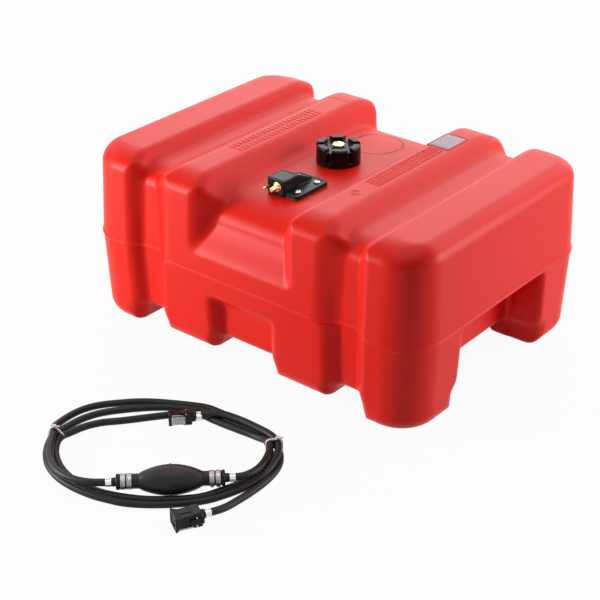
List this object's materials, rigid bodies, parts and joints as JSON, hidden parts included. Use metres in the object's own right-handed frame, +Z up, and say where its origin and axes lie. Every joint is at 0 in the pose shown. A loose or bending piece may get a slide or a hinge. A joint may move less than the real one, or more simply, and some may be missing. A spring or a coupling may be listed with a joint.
{
  "type": "outboard fuel tank",
  "caption": "Low portable outboard fuel tank with ribbed sides, vented screw cap, fuel withdrawal fitting, and a coiled fuel line with primer bulb and push-on connectors.",
  "frame": {"origin": "centre of the tank's footprint at the level of its feet, without the fuel line", "axes": "+X to the right end, -Y to the front with the grip recess and the fuel nipple, +Z up"},
  "size_m": [0.6426, 0.8403, 0.2928],
  "materials": {
    "tank_plastic": "satin, fine pebble grain",
    "cap_plastic": "satin",
    "fitting_plastic": "matte",
    "brass": "machined",
    "stainless": "brushed",
    "band_metal": "brushed",
    "hose_rubber": "matte",
    "bulb_rubber": "satin",
    "seal_rubber": "matte",
    "tie_nylon": "satin",
    "tag_film": "matte",
    "plate_film": "matte",
    "pickup_plastic": "natural"
  },
  "bodies": {
    "tank": {"tank_shell": "tank_plastic", "flange_gasket": "seal_rubber", "connector_flange": "fitting_plastic", "connector_block": "fitting_plastic", "locating_pin": "fitting_plastic", "fuel_nipple": "brass", "nipple_spring": "stainless", "flange_screws": "stainless", "threaded_inserts": "brass", "pickup_tube": "pickup_plastic", "pickup_filter": "pickup_plastic", "label_plate": "plate_film"},
    "cap_carrier": {"cap_gasket": "seal_rubber"},
    "cap": {"cap_shell": "cap_plastic", "vent_seal": "seal_rubber"},
    "vent_screw": {"vent_screw": "brass"},
    "nipple_poppet": {"nipple_poppet": "brass"},
    "fuel_line": {"primer_bulb": "bulb_rubber", "bulb_bands": "band_metal", "inlet_valve": "fitting_plastic", "outlet_valve": "fitting_plastic", "tank_connector_body": "cap_plastic", "tank_connector_lever_pin": "stainless", "tank_connector_seal": "seal_rubber", "engine_connector_body": "cap_plastic", "engine_connector_lever_pin": "stainless", "engine_connector_seal": "seal_rubber", "blank_tag": "tag_film", "hose_clamps": "band_metal", "hose_coil": "hose_rubber", "coil_ties": "tie_nylon", "bulb_inlet_hose": "hose_rubber", "bulb_outlet_hose": "hose_rubber", "tank_lead": "hose_rubber", "engine_lead": "hose_rubber"},
    "tank_connector_lever": {"tank_connector_lever": "cap_plastic"},
    "engine_connector_lever": {"engine_connector_lever": "cap_plastic"},
    "inlet_flap": {"inlet_valve_flap": "seal_rubber"},
    "outlet_flap": {"outlet_valve_flap": "seal_rubber"}
  },
  "joints": [
    {"name": "cap_rise", "type": "slide", "parent": "tank", "child": "cap_carrier", "axis": [0, 0, 1], "range_m": [0, 0.012]},
    {"name": "cap_turn", "type": "hinge", "parent": "cap_carrier", "child": "cap", "pos_m": [-0.012, 0.023, 0.27], "axis": [0, 0, 1], "range_deg": [0, 1080]},
    {"name": "vent_turn", "type": "hinge", "parent": "cap", "child": "vent_screw", "pos_m": [-0.012, 0.023, 0.285], "axis": [0, 0, 1], "range_deg": [0, 720]},
    {"name": "nipple_valve", "type": "slide", "parent": "tank", "child": "nipple_poppet", "axis": [0, 1, 0], "range_m": [0, 0.003], "stiffness_N_per_m": 300, "springref_m": -0.002},
    {"name": "fuel_line_lift", "type": "slide", "parent": "tank", "child": "fuel_line", "axis": [0, 0, 1], "range_m": [0, 0.35]},
    {"name": "tank_connector_latch", "type": "hinge", "parent": "fuel_line", "child": "tank_connector_lever", "pos_m": [0.20908, -0.55516, 0.0105], "axis": [0, 0, 1], "range_deg": [0, 8], "stiffness_Nm_per_rad": 0.02},
    {"name": "engine_connector_latch", "type": "hinge", "parent": "fuel_line", "child": "engine_connector_lever", "pos_m": [0.03001, -0.38399, 0.0175], "axis": [-0.7071, 0.7071, 0], "range_deg": [0, 8], "stiffness_Nm_per_rad": 0.02},
    {"name": "inlet_valve_open", "type": "slide", "parent": "fuel_line", "child": "inlet_flap", "axis": [0.7314, 0.682, 0], "range_m": [0, 0.002], "stiffness_N_per_m": 60},
    {"name": "outlet_valve_open", "type": "slide", "parent": "fuel_line", "child": "outlet_flap", "axis": [0.7314, 0.682, 0], "range_m": [0, 0.002], "stiffness_N_per_m": 60}
  ],
  "couplings": [
    {"joint": "cap_rise", "follows": "cap_turn", "m_per_rad": 0.00063662}
  ]
}
